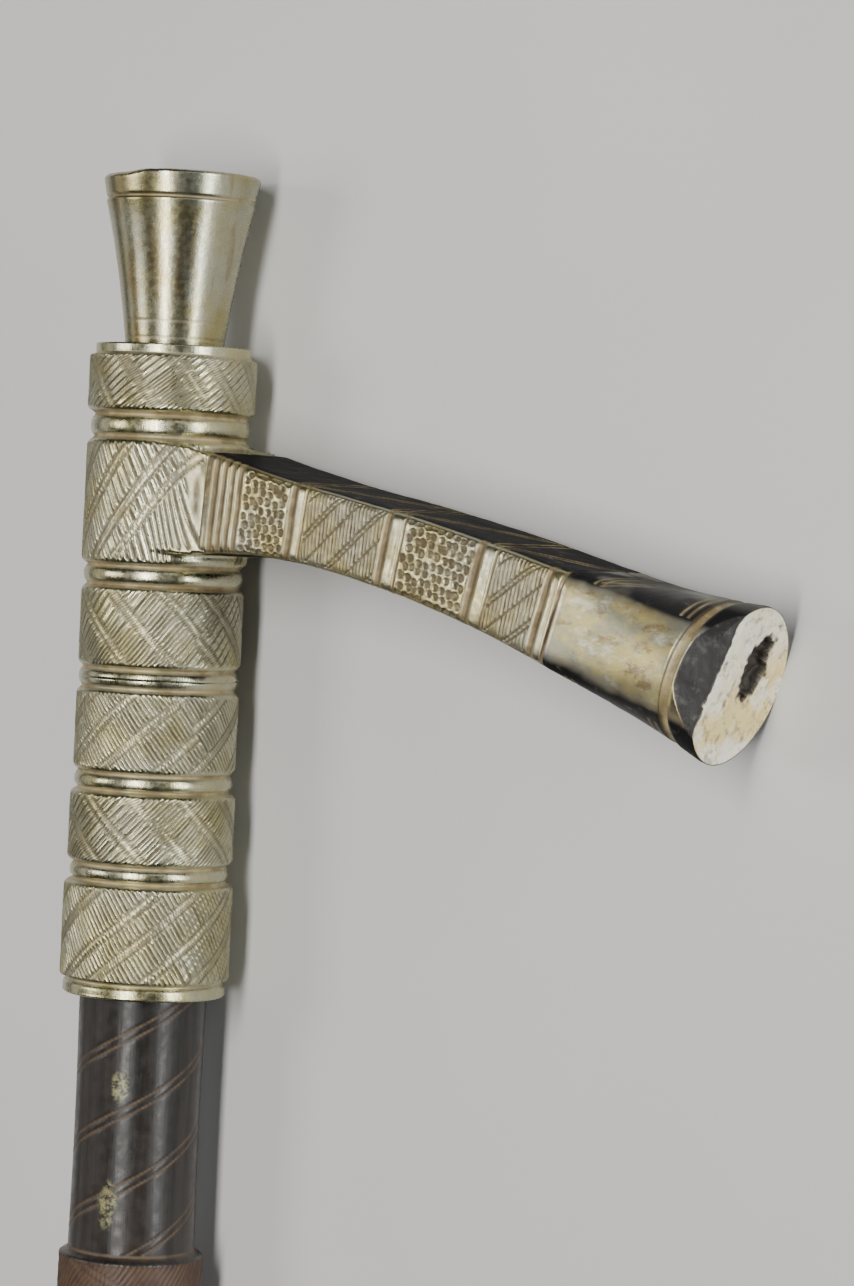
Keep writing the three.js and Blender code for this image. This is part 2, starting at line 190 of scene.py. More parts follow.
def band_spans():
    """Bottom and top of each band."""
    spans = []
    bottom = MOUTH_RIM_HEIGHT + MOUTH_GROOVE_HEIGHT
    for i, height in enumerate(BAND_HEIGHTS):
        spans.append((bottom, bottom + height))
        bottom += height + (RING_HEIGHTS[i] if i < len(RING_HEIGHTS) else 0)
    return spans


spans = band_spans()
collar_bottom = spans[-1][1]
finial_bottom = collar_bottom + COLLAR_HEIGHT


def smooth(low, high, x):
    """0 below low, 1 above high and an even rise between."""
    t = np.clip((x - low) / (high - low), 0, 1)
    return t * t * (3 - 2 * t)


def ridge(distance, half_width):
    """1 on a line, falling in a rounded way to 0 at half_width from it."""
    return np.clip(1 - np.abs(distance) / half_width, 0, 1) ** 1.4


def part_way(start, end, share):
    return start + (end - start) * share


def noise(points, scale, seed=0):
    """Smooth noise from -1 to 1 at points of shape (..., 3), with features of about that scale."""
    p = np.asarray(points, dtype=float) / scale + 1000.0 + 17.3 * seed
    cell = np.floor(p).astype(np.int64)
    t = p - cell
    t = t * t * (3 - 2 * t)
    total = 0
    for corner in np.ndindex(2, 2, 2):
        x, y, z = (cell[..., i] + corner[i] for i in range(3))
        h = (x * 73856093) ^ (y * 19349663) ^ (z * 83492791) ^ (seed * 2654435761)
        h = (h ^ (h >> 13)) * 1274126177 & 0x7FFFFFFF
        weight = 1
        for i in range(3):
            weight = weight * (t[..., i] if corner[i] else 1 - t[..., i])
        total = total + weight * (h / 0x3FFFFFFF - 1)
    return total


def clouds(points, scale, seed=0):
    """Noise with finer and finer detail."""
    return sum(noise(points, scale / 2**i, seed + i) / 2**i for i in range(4)) / 1.5


# The arm's centre line and sections


def arm_heading(along):
    """How far the centre line droops at distances along it."""
    bend = np.clip((along - ARM_BEND_START) / (ARM_BEND_END - ARM_BEND_START), 0, 1)
    return part_way(ARM_ROOT_DROOP, ARM_END_DROOP, bend)


def arm_centre(along):
    """(s, v) of the centre line at distances along it."""
    along = np.asarray(along, dtype=float)
    steps = (np.arange(64) + 0.5) / 64
    heading = arm_heading(along[..., None] * steps)
    s = np.cos(heading).mean(-1) * along
    start = (spans[ARM_BAND][0] + spans[ARM_BAND][1]) / 2 + ARM_ROOT_LIFT
    return s, start - np.sin(heading).mean(-1) * along


def arm_size(along):
    """Half height, half depth and squareness of the section."""
    to_drum = np.clip((along - DRUM_START) / (DRUM_END - DRUM_START), 0, 1)
    flared = 0.72 * to_drum + 0.28 * to_drum**2
    inner = np.clip(1 - along / ARM_SLIM_AT, 0, 1)
    outer = np.clip((along - ARM_SLIM_AT) / (DRUM_START - ARM_SLIM_AT), 0, 1)
    height = part_way(ARM_SLIM_HALF_HEIGHT, ARM_ROOT_HALF_HEIGHT, np.minimum(1, 2.1 * inner**2))
    height = height + (ARM_OUTER_HALF_HEIGHT - ARM_SLIM_HALF_HEIGHT) * outer**2
    height = height + (DRUM_RADIUS - ARM_OUTER_HALF_HEIGHT) * flared
    depth = part_way(ARM_ROOT_HALF_DEPTH, ARM_OUTER_HALF_DEPTH, np.minimum(along / DRUM_START, 1))
    depth = depth + (DRUM_RADIUS - ARM_OUTER_HALF_DEPTH) * flared
    squareness = 2 * (ARM_SQUARENESS / 2) ** ((1 - to_drum) ** 2)
    return height, depth, squareness


def rest_turn():
    """Turn about the shaft that lets the drum down onto the plane of the widest band."""
    along = DRUM_END - DRUM_RIM_LENGTH / 2
    s = float(arm_centre(along)[0])
    depth = float(arm_size(along)[1])
    return math.asin(widest_radius / math.hypot(s, depth)) - math.atan2(depth, s)


def placement():
    """The mace's own frame in millimetres, placed where the frame has it."""
    head_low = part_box("mace_head")[0]
    shaft_low, shaft_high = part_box("shaft")
    at = Vector(((shaft_low[0] + shaft_high[0]) / 2, head_low[1], shaft_high[2] - widest_radius * MM))
    return Matrix.Translation(at) @ Matrix.Rotation(rest_turn(), 4, "Y") @ Matrix.Scale(MM, 4)


PLACE = placement()
boxes = np.array([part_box("mace_head"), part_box("shaft")])
low_corner = boxes[:, 0].min(0)
high_corner = boxes[:, 1].max(0)


def placed(points):
    """Own-frame millimetres to the shared frame, worn flat where it would stand out of the solids' box,
    as where the mace lies on the floor."""
    matrix = np.array(PLACE)
    world = points.reshape(-1, 3) @ matrix[:3, :3].T + matrix[:3, 3]
    return np.clip(world, low_corner, high_corner)


def around(turn, radius, v):
    """Points at angles round the shaft's axis, radii from it and heights along it."""
    turn, radius, v = np.broadcast_arrays(turn, radius, v)
    return np.stack([np.cos(turn) * radius, v, np.sin(turn) * radius], -1)


def flare(share):
    """How far the finial or the butt has widened at shares of its flare."""
    return 0.62 * share + 0.38 * share**2


def outward_normals(points):
    """Unit normals of a tube of points, rows by columns, that point out of it."""
    across = np.roll(points, -1, axis=1) - np.roll(points, 1, axis=1)
    normals = np.cross(across, np.gradient(points, axis=0))
    normals = normals / (np.linalg.norm(normals, axis=-1, keepdims=True) + 1e-12)
    outwards = ((points - points.mean(1, keepdims=True)) * normals).sum()
    return normals if outwards >= 0 else -normals


def skin(name, points, values, wrap_rows=False):
    """A closed piece from a grid of points whose columns wrap; its ends are capped, or its rows wrap too.
    values are named numbers for each point."""
    rows, columns, _ = points.shape
    index = np.arange(rows * columns).reshape(rows, columns)
    right = np.roll(index, -1, axis=1)
    if wrap_rows:
        lower, upper = (index, right), (np.roll(index, -1, axis=0), np.roll(right, -1, axis=0))
    else:
        lower, upper = (index[:-1], right[:-1]), (index[1:], right[1:])
    quads = np.stack([lower[0], lower[1], upper[1], upper[0]], axis=-1).reshape(-1, 4)
    vertices = points.reshape(-1, 3)
    triangles = np.empty((0, 3), dtype=int)
    if not wrap_rows:
        ends = np.array([points[0].mean(0), points[-1].mean(0)])
        first, last = len(vertices), len(vertices) + 1
        vertices = np.concatenate([vertices, ends])
        start_fan = np.stack([np.full(columns, first), right[0], index[0]], axis=-1)
        end_fan = np.stack([np.full(columns, last), index[-1], right[-1]], axis=-1)
        triangles = np.concatenate([start_fan, end_fan])
    world = placed(vertices)
    a, b, c, d = (world[quads[:, i]] for i in range(4))
    volume = (a * np.cross(b, c)).sum() + (a * np.cross(c, d)).sum()
    if volume < 0:
        quads = quads[:, ::-1]
        triangles = triangles[:, ::-1]
    mesh = bpy.data.meshes.new(name)
    mesh.from_pydata(world.tolist(), [], quads.tolist() + triangles.tolist())
    for key, numbers in values.items():
        flat = np.zeros(len(vertices), dtype=np.float32)
        flat[: rows * columns] = np.broadcast_to(numbers, (rows, columns)).ravel()
        mesh.attributes.new(key, "FLOAT", "POINT").data.foreach_set("value", flat)
    mesh.shade_smooth()
    piece = bpy.data.objects.new(name, mesh)
    bpy.context.scene.collection.objects.link(piece)
    return piece


# Sleeve


def ring_profile(share):
    """Shares of the groove's depth and of the bead's height, at shares of a ring group's height."""
    from_edge = np.minimum(share, 1 - share)
    bead = np.sqrt(np.clip(1 - ((share - 0.5) / 0.29) ** 2, 0, 1))
    return smooth(0.0, 0.16, from_edge), bead


def sleeve_radius(v):
    """Radius and groove share of the plain sleeve at heights v."""
    radius = np.full_like(v, band_radii[0])
    grooved = np.zeros_like(v)
    mouth = v < spans[0][0]
    rim_radius = SLIM_BAND_RADIUS - 0.35 * smooth(1.7, 2.5, v)
    in_groove = ridge(v - (MOUTH_RIM_HEIGHT + MOUTH_GROOVE_HEIGHT / 2), 0.6)
    radius = np.where(mouth, rim_radius - 0.35 * in_groove, radius)
    grooved = np.where(mouth, in_groove, grooved)
    for i, (bottom, top) in enumerate(spans):
        inside = (v >= bottom) & (v <= top)
        edge = np.minimum(v - bottom, top - v)
        rounding = 0.22 * (1 - smooth(0, 0.55, edge))
        radius = np.where(inside, band_radii[i] - rounding, radius)
        if i + 1 == len(spans):
            continue
        ring = (v > top) & (v < spans[i + 1][0])
        share = np.clip((v - top) / RING_HEIGHTS[i], 0, 1)
        cove, bead = ring_profile(share)
        body = part_way(band_radii[i], band_radii[i + 1], share) - 0.22
        in_ring = part_way(body, GROOVE_RADIUS + 0.05, cove)
        in_ring = np.maximum(in_ring, part_way(GROOVE_RADIUS, BEAD_RADIUS, bead))
        radius = np.where(ring, in_ring, radius)
        grooved = np.where(ring, smooth(0.1, 0.5, cove) * (1 - smooth(0.2, 0.75, bead)), grooved)
    radius = np.where(v > collar_bottom, band_radii[-1] - COLLAR_INSET, radius)
    under_collar = ridge(v - collar_bottom, 0.5)
    return radius - 0.15 * under_collar, np.maximum(grooved, 0.8 * under_collar)


def arm_bulge(angle, v):
    """How far the hollow curve into the arm stands out of its band, at angles from the arm."""
    turn = np.abs((angle + math.pi) % TURN - math.pi)
    band = band_radii[ARM_BAND]
    end = math.sqrt((band + ARM_BLEND_RADIUS) ** 2 - (ARM_ROOT_HALF_DEPTH + ARM_BLEND_RADIUS) ** 2)
    centre = (end, ARM_ROOT_HALF_DEPTH + ARM_BLEND_RADIUS)
    along = np.cos(turn) * centre[0] + np.sin(turn) * centre[1]
    under = along**2 - (centre[0] ** 2 + centre[1] ** 2 - ARM_BLEND_RADIUS**2)
    arc = along - np.sqrt(np.maximum(under, 0))
    flat = ARM_ROOT_HALF_DEPTH / np.maximum(np.sin(turn), 1e-3)
    reach = (ARM_MESH_START + 1.6) / np.maximum(np.cos(turn), 1e-3)
    corner = math.atan2(ARM_ROOT_HALF_DEPTH, end)
    start = math.asin(centre[1] / (band + ARM_BLEND_RADIUS))
    radius = np.where(turn > corner, arc, np.minimum(flat, reach))
    stand = np.where(turn < start, radius - band, 0)
    distance = (band + stand) * np.cos(turn)
    height = arm_size(distance)[0] - 0.15
    middle = arm_centre(distance)[1]
    edge = height - np.abs(v - middle)
    return np.maximum(stand, 0) * smooth(-0.15, 0.35, edge)


def band_cuts(band, turn, v):
    """Depth of a band's engraving and its residue, which is also painted shade in the cuts; turn is the
    angle in radians and grows leftwards.
    """
    radius = band_radii[band]
    bottom, top = spans[band]
    lean = BAND_LEAN[band]
    slope = PAIR_SLOPES[band]
    right = (math.radians(PAIR_TURNS[band]) - turn) * radius
    climb = v - (bottom + top) / 2
    place = around(turn, radius, v)
    spacing = TURN * radius / PAIRS_PER_BAND[band]

    # Double lines, with a thin third line in every other one and notches between
    sideways = right - lean * slope * climb + 0.5 * noise(place, 11.0, 31)
    if band == ARM_BAND:
        sideways = sideways + FAN_SHIFT * smooth(1.5, 5, sideways)
    number = np.round(sideways / spacing)
    cosine = 1 / math.hypot(1, slope)
    strip = sideways - number * spacing
    for nth, shift in PAIR_SHIFTS[band].items():
        strip = strip - shift * (number == nth)
    strip = np.abs(strip) * cosine
    lines = ridge(strip - PAIR_HALF_GAP, PAIR_LINE_WIDTH)
    lines = np.maximum(lines, 0.6 * ridge(strip, 0.3) * (number % 2 == 0))
    down_line = (right * lean * slope + climb) * cosine
    notches = ridge((down_line / NOTCH_PITCH + 0.3 * number) % 1 - 0.5, 0.3)
    in_strip = 1 - smooth(0.45, 0.65, strip)

    # Hatching, finer in some places, that starts and ends unevenly
    phase = hatch_phase(band, turn, v)
    line = np.floor(phase)
    jitter = np.sin(line * 12.9898 + band * 4.1) * 43758.5453
    jitter = jitter - np.floor(jitter)
    valley = 1 - np.abs(2 * (phase - line) - 1)
    coarse = smooth(-0.35, 0.35, noise(place, 12.0, 33))
    weak = 1 - 0.75 * coarse * (line % 2)
    bite = (0.7 + 0.5 * jitter) * weak + 0.3 * noise(np.stack([right, v, line * 3.1], -1), 5.0, 11)
    outside = np.maximum(smooth(PAIR_HALF_GAP + 0.15, PAIR_HALF_GAP + 0.5, strip), 0.45)
    edge = smooth(0.05, 0.6, np.minimum(v - bottom, top - v) + 0.25 * (jitter - 0.5))
    hatch = np.clip(valley * 1.7 - 0.35, 0, 1) * np.clip(bite, 0.1, 1.3) * outside * edge
    degrees = (np.degrees(turn) + 180) % 360 - 180
    if band in CROSSED_UNTIL:
        crossed = (right - lean * CROSSED_SLOPE * climb) / CROSSED_PITCH
        valley = ridge(crossed % 1 - 0.5, 0.22)
        until = CROSSED_UNTIL[band]
        on = smooth(-75, -60, degrees) * (1 - smooth(until - 12, until, degrees))
        hatch = np.maximum(hatch, valley * on * edge)
    if band == ARM_BAND:
        lines, hatch, in_strip = arm_fan(degrees, place, climb, lines, hatch, in_strip, edge)
    cut = np.maximum(lines * PAIR_LINE_DEPTH * edge, hatch * HATCH_DEPTH)
    cut = np.maximum(cut, notches * in_strip * NOTCH_DEPTH * edge)
    residue = np.clip(np.maximum(1.7 * lines * edge, 0.85 * hatch), 0, 1)
    residue = np.maximum(residue, 0.32 * in_strip * (0.7 + 0.6 * noise(place, 3.0, 34)))
    return cut, residue


def arm_fan(degrees, place, climb, lines, hatch, in_strip, edge):
    """Between the last double line and the arm the hatching gives way to a fan of coarse lines."""
    climb_turn = math.degrees(PAIR_SLOPES[ARM_BAND] / band_radii[ARM_BAND]) * climb
    spacing = 360 / PAIRS_PER_BAND[ARM_BAND]
    front = PAIR_TURNS[ARM_BAND] - spacing + math.degrees(FAN_SHIFT / band_radii[ARM_BAND]) - climb_turn
    back = 4 * spacing - PAIR_TURNS[ARM_BAND] + climb_turn
    inside = np.where(degrees > 0, front, back) - np.abs(degrees)
    out = place[..., 0] + 5.4 * smooth(62, 25, np.abs(degrees))
    fan = ridge(((out + 0.33 * climb) / FAN_PITCH) % 1 - 0.5, 0.32)
    fan = fan * (1 - smooth(16.6, 17.2, out + 0.2 * climb)) * edge * smooth(4.5, 6, inside)
    outer = 1 - smooth(4, 5, inside)
    fan = fan * np.maximum(smooth(-8.5, -7.8, climb), smooth(40, 52, np.abs(degrees)))
    scratch = noise(np.stack([out, 0.06 * climb, 0 * out], -1), 0.5, 43)
    plain = smooth(4.5, 6, inside) * smooth(16.4, 17.2, out + 0.2 * climb) * smooth(-8.5, -7.8, climb)
    scratched = plain * (0.2 + 0.7 * smooth(-0.3, 0.6, scratch)) * edge
    return lines * outer, np.maximum(np.maximum(hatch * outer, scratched), 1.5 * fan), in_strip * outer


def hatch_phase(band, turn, v):
    """Number of the hatch line at a place; whole numbers lie between two lines."""
    middle = (spans[band][0] + spans[band][1]) / 2
    slope = HATCH_SLOPES[band] * BAND_LEAN[band] / band_radii[band]
    return (turn - slope * (v - middle)) * HATCH_PER_TURN / TURN


def column_shift(v):
    """Turn of the grid's columns at each height, so that they follow the hatch of each band."""
    pitch = TURN / (HATCH_PER_TURN * COLUMNS_PER_HATCH)
    shifts = np.zeros_like(v)
    carried = 0.0
    last_top = None
    for band, (bottom, top) in enumerate(spans):
        slope = HATCH_SLOPES[band] * BAND_LEAN[band] / band_radii[band]
        middle = (bottom + top) / 2
        at_bottom = slope * (bottom - middle)
        step = round((carried - at_bottom) / pitch) * pitch
        inside = (v >= bottom) & (v <= top)
        shifts = np.where(inside, slope * (v - middle) + step, shifts)
        if last_top is None:
            shifts = np.where(v < bottom, at_bottom + step, shifts)
        else:
            share = np.clip((v - last_top) / (bottom - last_top), 0, 1)
            between = (v > last_top) & (v < bottom)
            shifts = np.where(between, part_way(carried, at_bottom + step, share), shifts)
        carried = slope * (top - middle) + step
        last_top = top
    return np.where(v > last_top, carried, shifts)


def sleeve_grid(low, high):
    """Points of the sleeve between two heights, with their groove shares and their residue, which is also
    painted shade in the cuts.
    """
    rows = int(math.ceil((high - low) / ROW_STEP))
    v = np.linspace(low, high, rows + 1)[:, None]
    columns = HATCH_PER_TURN * COLUMNS_PER_HATCH
    turn = np.arange(columns)[None, :] * TURN / columns + column_shift(v)
    v = v + 0 * turn
    radius, grooved = sleeve_radius(v)
    cut = np.zeros_like(v)
    residue = np.zeros_like(v)
    for band, (bottom, top) in enumerate(spans):
        inside = (v >= bottom) & (v <= top)
        depth, stain = band_cuts(band, turn, v)
        cut = np.where(inside, depth, cut)
        residue = np.where(inside, stain, residue)
    radius = radius + arm_bulge(turn, v)
    plain = around(turn, radius, v)
    radius = radius - cut + 0.05 * noise(plain, 6.0, 5) + 0.03 * noise(plain, 1.6, 6)
    return around(turn, radius, v), residue, grooved


def sleeve_lower():
    """Mouth to the ring group under the fourth band, open along the shaft."""
    high = (spans[2][1] + spans[3][0]) / 2
    points, residue, cove = sleeve_grid(0, high)
    bore = SHAFT_RADIUS + SOCKET_CLEARANCE
    bevel = 0.35
    mouth_radius = np.hypot(points[0, :, 0], points[0, :, 2])
    low_turn, high_turn = (np.arctan2(row[:, 2], row[:, 0]) for row in (points[0], points[-1]))
    points[0, :, 1] += bevel
    inside = [
        around(high_turn, bore, high),
        around(low_turn, bore, bevel),
        around(low_turn, bore + bevel, 0),
        around(low_turn, mouth_radius - bevel, 0),
    ]
    clean = np.zeros((len(inside), len(low_turn)))
    values = {"residue": np.concatenate([residue, clean]), "cove": np.concatenate([cove, clean])}
    return skin("sleeve_lower", np.concatenate([points, inside]), values, wrap_rows=True)


def sleeve_upper():
    """From there to the collar, with the hollow curves that lead into the arm."""
    low = (spans[2][1] + spans[3][0]) / 2
    points, residue, cove = sleeve_grid(low, finial_bottom)
    return skin("sleeve_upper", points, {"residue": residue, "cove": cove})


# Finial


def finial():
    """The flared top with its grooved rim, worn edge and shallow dished end."""
    flare_top = finial_bottom + FINIAL_FLARE_HEIGHT
    rim_bottom = flare_top + FINIAL_GROOVE_HEIGHT
    rim_top = rim_bottom + FINIAL_RIM_HEIGHT
    v = np.linspace(finial_bottom - 0.4, rim_top - FINIAL_BEVEL, FINIAL_ROWS)
    share = np.clip((v - finial_bottom) / FINIAL_FLARE_HEIGHT, 0, 1)
    radius = part_way(FINIAL_NECK_RADIUS, FINIAL_FLARE_RADIUS, flare(share))
    groove = ridge(v - (flare_top + FINIAL_GROOVE_HEIGHT / 2), FINIAL_GROOVE_HEIGHT / 2 + 0.1)
    to_rim = np.clip((v - rim_bottom) / (FINIAL_RIM_HEIGHT - FINIAL_BEVEL), 0, 1)
    radius = radius + (FINIAL_RIM_RADIUS - FINIAL_FLARE_RADIUS) * to_rim - FINIAL_GROOVE_DEPTH * groove
    faint = sum(ridge(v - finial_bottom - at, 0.35) for at in (1.3, 4.4))
    radius = radius - 0.06 * faint
    bevel = np.linspace(0, math.pi / 2, 6)[1:]
    top_radii = np.linspace(1, 0.04, 24)[1:] * (FINIAL_RIM_RADIUS - FINIAL_BEVEL)
    dish = 0.5 * smooth(0, 2.5, top_radii[0] - top_radii)
    rounded = FINIAL_RIM_RADIUS - FINIAL_BEVEL * (1 - np.cos(bevel))
    v = np.concatenate([v, rim_top - FINIAL_BEVEL * (1 - np.sin(bevel)), rim_top - dish])[:, None]
    radius = np.concatenate([radius, rounded, top_radii])[:, None]
    stain = np.concatenate([np.maximum(groove, 0.3 * faint), 0 * bevel, 0.18 + 0 * top_radii])[:, None]

    turn = np.arange(FINIAL_COLUMNS) * TURN / FINIAL_COLUMNS
    plain = around(turn, radius, v)
    wear = smooth(0.15, 0.75, clouds(plain * [1, 0.2, 1], 7.0, 21) + 0.25 * np.cos(turn - 2.3))
    high = smooth(rim_top - 1.6, rim_top - 0.1, v)
    chip = 1 - smooth(0.1, 0.9, np.abs(turn - 2.05) + 0.3 * clouds(plain, 3.0, 24))
    v = v - (0.5 * wear + 0.6 * chip) * high
    radius = radius - (0.3 * wear + 0.5 * chip) * high
    radius = radius + 0.03 * noise(plain, 6.0, 22) + 0.005 * noise(plain, 1.2, 23)
    stain = stain + 0.35 * wear * high
    return skin("finial", around(turn, radius, v), {"residue": 0.3 * stain, "cove": stain})


# Arm


def section_columns(front, top, back, bottom):
    """Points round a square from -1 to 1, as (out, up), with so many on each side, and side names."""
    sides = []
    names = []
    for side, count in enumerate((front, top, back, bottom)):
        t = (np.arange(count) + 0.5) / count * 2 - 1
        one = np.ones(count)
        sides.append(np.stack([(one, t), (-t, one), (-one, -t), (t, -one)][side], -1))
        names.append(np.full(count, side))
    return np.concatenate(sides), np.concatenate(names)


def arm_points(along, square):
    """Grid of points on the plain arm: rows at distances along it, columns round its section."""
    height, depth, power = (a[:, None] for a in arm_size(along))
    out, up = square[None, :, 0], square[None, :, 1]
    reach = 1 / (np.abs(out) ** power + np.abs(up) ** power) ** (1 / power)
    out, up = out * reach * depth, up * reach * height
    s, v = (a[:, None] for a in arm_centre(along))
    heading = arm_heading(along)[:, None]
    return np.stack([s + np.sin(heading) * up, v + np.cos(heading) * up, out + 0 * s], -1)


def cross_grooves(along, up, points):
    """Depth of the grooves across the arm's broad sides, which run out over its edges, and how stained."""
    cut = np.zeros(along.shape)
    stain = np.zeros(along.shape)
    slant = along + 0.02 * up + 0.12 * noise(points, 4, 41)
    for middle, half, depth in ARM_GROOVES:
        groove = ridge(slant - middle, half)
        cut = np.maximum(cut, groove * depth)
        stain = np.maximum(stain, smooth(0.05, 0.5, groove))
    return cut, stain


def broad_cuts(along, up, side):
    """Cuts on a broad side of the arm: ring-punched panels and hatched panels."""
    cut = np.zeros(along.shape)
    scratch = noise(np.stack([along, 0.06 * up, 0 * up + side], -1), 0.5, 43)
    strip = 1 - smooth(ROOT_STRIP_END - 0.3, ROOT_STRIP_END, along)
    residue = strip * (0.2 + 0.7 * smooth(-0.3, 0.6, scratch))
    residue = np.maximum(residue, 0.3 * smooth(-0.1, 0.6, scratch))
    for low, high in HATCHED_PANELS:
        inside = smooth(low - 0.1, low + 0.1, along) * (1 - smooth(high - 0.1, high + 0.1, along))
        phase = (along - low + ARM_HATCH_LEAN * up) / ARM_HATCH_PITCH
        line = np.floor(phase)
        valley = np.clip(1.5 - 3 * np.abs(phase - line - 0.5), 0, 1)
        uneven = 0.8 + 0.45 * noise(np.stack([line * 2.7, up, 0 * up + side], -1), 3, 42)
        pairs = diagonal_pairs(along, up, low, high)
        hatch = valley * uneven * inside * (1 - smooth(0.2, 0.6, pairs))
        cut = np.maximum(cut, np.maximum(hatch * ARM_HATCH_DEPTH, pairs * inside * DIAGONAL_DEPTH))
        residue = np.maximum(residue, np.maximum(hatch, 1.3 * pairs * inside))
    for low, high in PUNCHED_PANELS:
        dent, stain = punched(along, up, low, high, side)
        cut = np.maximum(cut, dent)
        residue = np.maximum(residue, stain)
    return cut, residue


def diagonal_pairs(along, up, low, high):
    """Double and single lines that climb outwards across a hatched panel by turns."""
    total = 0
    climbed = (up + ARM_SLIM_HALF_HEIGHT) / (2 * ARM_SLIM_HALF_HEIGHT)
    for i in range(int((high - low) / DIAGONAL_STEP) + 3):
        start = low - 8.6 + DIAGONAL_STEP * i
        distance = (along - start - climbed * DIAGONAL_RUN) * 0.78
        for offset in (-0.42, 0.42) if i % 2 else (-0.32,):
            total = np.maximum(total, ridge(distance - offset, 0.36))
    return total


def punched(along, up, low, high, side):
    """Rings struck with a hollow punch all over a panel."""
    cut = np.zeros(np.broadcast_shapes(along.shape, up.shape))
    stain = np.zeros_like(cut)
    draw = np.random.default_rng(int(low * 10) + side)
    count_along = int((high - low) / RING_PITCH)
    half = float(arm_size(np.array((low + high) / 2))[0])
    count_up = int(2 * half / RING_PITCH)
    rows = np.where((along[:, 0] > low - 0.5) & (along[:, 0] < high + 0.5))[0]
    if not len(rows):
        return cut, stain
    window = slice(rows[0], rows[-1] + 1)
    x, y = along[window], up[window]
    for i in range(count_along):
        for j in range(count_up):
            shift = 0.5 * (j % 2)
            cx = low + (i + 0.4 + 0.6 * shift) / count_along * (high - low) + draw.normal(0, 0.2)
            cy = -half + (j + 0.5) / count_up * 2 * half + draw.normal(0, 0.2)
            size = RING_RADIUS * draw.uniform(0.8, 1.2)
            bite = draw.uniform(0.6, 1.0)
            distance = np.hypot(x - cx, y - cy)
            ring = np.exp(-(((distance - size * 0.75) / RING_WIDTH) ** 2)) * bite
            disc = 1 - smooth(size * 0.85, size * 1.25, distance)
            cut[window] = np.maximum(cut[window], RING_DEPTH * np.maximum(ring, 0.6 * disc))
            stain[window] = np.maximum(stain[window], disc * (0.75 + 0.25 * bite))
    return cut, np.clip(stain, 0, 1)


def narrow_cuts(along, out, depth):
    """Double lines across the narrow side of the arm, joined by long slanting ones."""
    total = 0
    across = out / depth
    for i, at in enumerate(TOP_PAIRS):
        for offset in (-0.75, 0.75):
            total = np.maximum(total, ridge(along - at - offset - 0.2 * across, 0.42))
        if i + 1 < len(TOP_PAIRS):
            share = (along - at) / (TOP_PAIRS[i + 1] - at)
            slant = (across - (1 - 2 * share)) * 4.5
            inside = (share > 0) & (share < 1)
            for offset in (-0.55, 0.35):
                total = np.maximum(total, ridge(slant - offset, 0.34) * inside)
    return total


def arm_cuts(along, points, square, names):
    """Cut depths all round the arm's grid, and residue, which is also painted shade in the cuts."""
    height, depth, _ = (a[:, None] for a in arm_size(along))
    up = square[None, :, 1] * height
    out = square[None, :, 0] * depth
    rows = along[:, None]
    cut, cove = cross_grooves(rows + 0 * up, up, points)
    near_edge = np.where(names % 2, smooth(0.85, 0.97, np.abs(square[:, 0])), 1)[None, :]
    to_edge = 1 - 0.4 * smooth(0.86, 0.98, np.abs(square[:, 1]))[None, :]
    cut = cut * near_edge * to_edge
    cove = cove * near_edge
    residue = 0.7 * smooth(0.4, 1, cove)
    for side in range(4):
        on = np.where(names == side)[0]
        if side % 2:
            line = narrow_cuts(rows + 0 * out[:, on], out[:, on], depth)
            cut[:, on] = np.maximum(cut[:, on], NARROW_LINE_DEPTH * line)
            cove[:, on] = np.maximum(cove[:, on], np.minimum(line, 0.8))
        else:
            inner = 1 - smooth(0.9, 0.97, np.abs(square[None, on, 1]))
            depths, stain = broad_cuts(rows + 0 * up[:, on], up[:, on], side)
            cut[:, on] = np.maximum(cut[:, on], depths * inner)
            residue[:, on] = np.maximum(residue[:, on], stain * inner)
    return cut, residue, cove


def arm():
    """The strap from the sleeve to the drum."""
    along = np.linspace(ARM_MESH_START, ARM_SEAM, ARM_ROWS)
    square, names = section_columns(*ARM_COLUMNS)
    points = arm_points(along, square)
    cut, residue, cove = arm_cuts(along, points, square, names)
    sink = 0.7 * (1 - smooth(ARM_MESH_START, ARM_MESH_START + 1.4, along))[:, None]
    worn = 0.06 * noise(points, 4.0, 51) + 0.03 * noise(points, 1.0, 52)
    points = points - outward_normals(points) * (cut + sink - worn)[..., None]
    # Painted dark reflection on the narrow top and bottom sides, short of their edges
    painted_reflection = (names % 2) * (1 - smooth(0.92, 1.0, np.abs(square[:, 0])))
    return skin("arm", points, {"residue": residue, "cove": cove, "painted_reflection": painted_reflection})


